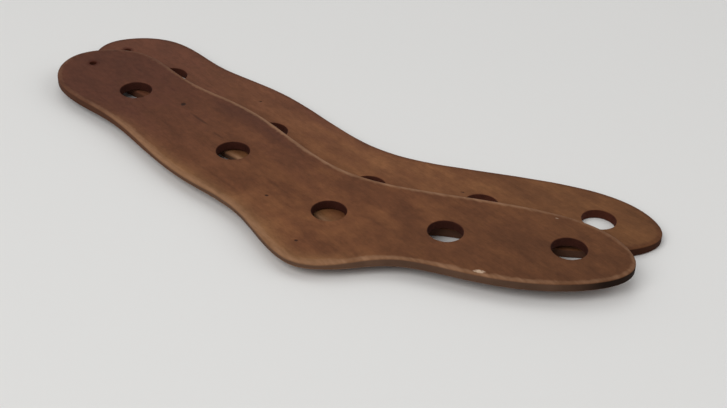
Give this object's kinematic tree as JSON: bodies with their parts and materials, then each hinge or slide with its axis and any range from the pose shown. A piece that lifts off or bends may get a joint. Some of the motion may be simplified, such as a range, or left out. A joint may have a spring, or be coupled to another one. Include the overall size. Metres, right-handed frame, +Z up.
{
  "type": "sock form",
  "caption": "Pair of flat wooden sock forms, each sawn to the outline of a long sock with round vent holes and a small hanging hole, one lying across the other.",
  "frame": {"origin": "middle of the pair's footprint, on the table", "axes": "+X along the lower form's foot, from ankle to toe; +Y towards the cuff's side; +Z up, out of the boards"},
  "size_m": [0.4308, 0.2648, 0.0171],
  "materials": {
    "lower_wood": "worn satin oil finish",
    "upper_wood": "worn satin oil finish"
  },
  "bodies": {
    "lower_form": {"lower_sock_form": "lower_wood"},
    "upper_form": {"upper_sock_form": "upper_wood"}
  },
  "joints": [
    {"name": "upper_form_lift", "type": "slide", "parent": "lower_form", "child": "upper_form", "axis": [0, 0, 1], "range_m": [0, 0.06]}
  ]
}
